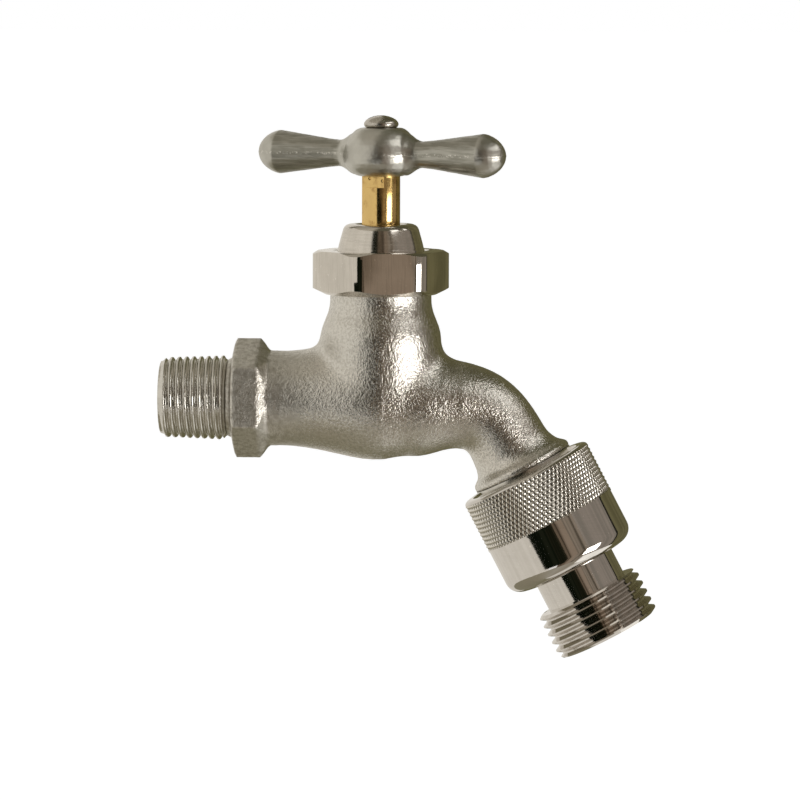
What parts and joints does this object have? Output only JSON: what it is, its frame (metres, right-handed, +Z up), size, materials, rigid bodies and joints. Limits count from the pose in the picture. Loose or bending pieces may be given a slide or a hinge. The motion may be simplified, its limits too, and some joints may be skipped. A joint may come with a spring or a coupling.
{
  "type": "hose bibb",
  "caption": "Wall tap for a garden hose: rough cast valve with T handle and rising stem, bent spout, and a knurled vacuum breaker with a male hose thread.",
  "frame": {"origin": "centre of the end face of the inlet, on the inlet thread axis", "axes": "+X along the inlet axis into the valve, +Z up along the stem, -Y towards the viewer of the picture"},
  "size_m": [0.1226, 0.034, 0.1336],
  "materials": {
    "rough_nickel": "satin nickel plate over rough cast brass",
    "polished_nickel": "polished nickel plate over turned brass",
    "knurled_nickel": "bright nickel plate over diamond knurl",
    "satin_handle": "satin chrome plate over die-cast zinc",
    "bare_brass": "turned, bare",
    "black_rubber": "moulded",
    "white_plastic": "moulded",
    "red_fibre": "pressed fibre",
    "spring_steel": "drawn wire"
  },
  "bodies": {
    "valve": {"valve_body": "rough_nickel", "bonnet_nut": "polished_nickel", "bonnet_gasket": "red_fibre", "bonnet": "polished_nickel", "breaker_collar": "knurled_nickel", "locking_screw": "spring_steel", "spout_washer": "black_rubber", "breaker_outlet": "polished_nickel", "breaker_o_ring": "black_rubber", "upper_spring": "spring_steel", "check_seat": "white_plastic", "lower_spring": "spring_steel", "lower_guide": "white_plastic"},
    "washer_carrier": {"washer_holder": "bare_brass", "seat_washer": "black_rubber", "seat_washer_screw": "bare_brass"},
    "stem_and_handle": {"stem": "bare_brass", "stem_o_ring": "black_rubber", "handle": "satin_handle", "handle_screw": "spring_steel"},
    "first_check": {"upper_poppet": "white_plastic", "upper_poppet_seal": "black_rubber", "vent_seal": "black_rubber"},
    "second_check": {"lower_poppet": "white_plastic", "lower_poppet_seal": "black_rubber"}
  },
  "joints": [
    {"name": "stem_rise", "type": "slide", "parent": "valve", "child": "washer_carrier", "axis": [0, 0, 1], "range_m": [0, 0.00635]},
    {"name": "handle_turn", "type": "hinge", "parent": "washer_carrier", "child": "stem_and_handle", "pos_m": [0.0545, 0, 0], "axis": [0, 0, 1], "range_deg": [0, 900]},
    {"name": "first_check_travel", "type": "slide", "parent": "valve", "child": "first_check", "axis": [0.4633, 0, -0.8862], "range_m": [0, 0.0023], "stiffness_N_per_m": 250, "springref_m": -0.004, "deforming": ["upper_spring"]},
    {"name": "second_check_travel", "type": "slide", "parent": "valve", "child": "second_check", "axis": [0.4633, 0, -0.8862], "range_m": [0, 0.0025], "stiffness_N_per_m": 200, "springref_m": -0.004, "deforming": ["lower_spring"]}
  ],
  "couplings": [
    {"joint": "handle_turn", "follows": "stem_rise", "rad_per_m": 2473.7}
  ]
}
